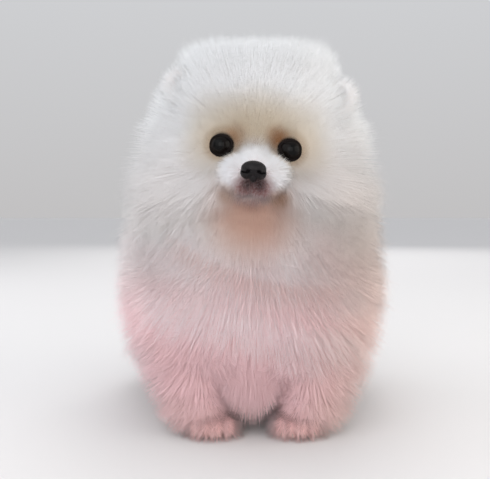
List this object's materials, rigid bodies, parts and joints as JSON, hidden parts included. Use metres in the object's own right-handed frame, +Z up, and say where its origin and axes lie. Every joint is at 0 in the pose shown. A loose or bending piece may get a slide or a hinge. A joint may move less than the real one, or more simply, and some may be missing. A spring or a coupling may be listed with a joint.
{
  "type": "standing pomeranian dog model",
  "caption": "Still, life-size model of a small white spitz dog with a long trimmed coat, standing on its paws, with the tail laid over the back.",
  "frame": {"origin": "on the floor, under the middle of the model's own box", "axes": "+Z up; the dog looks along -Y and its left side is at +X"},
  "size_m": [0.2288, 0.2702, 0.2748],
  "materials": {
    "coat": "long soft white hair",
    "ear_hair": "short white hair, pale pink inside",
    "nose_leather": "black pebbled skin, slightly wet",
    "lip_skin": "dark brown-pink skin of the lips and chin under short hair",
    "eye": "glossy near-black"
  },
  "bodies": {
    "root": {"head": "coat", "neck_ruff": "coat", "torso": "coat", "tail": "coat", "ear_left": "ear_hair", "ear_right": "ear_hair", "eye_left": "eye", "eye_right": "eye", "nose": "nose_leather", "lower_jaw": "lip_skin", "foreleg_left": "coat", "foreleg_right": "coat", "hindleg_left": "coat", "hindleg_right": "coat", "forepaw_left": "coat", "forepaw_right": "coat", "hindpaw_left": "coat", "hindpaw_right": "coat"}
  },
  "joints": []
}
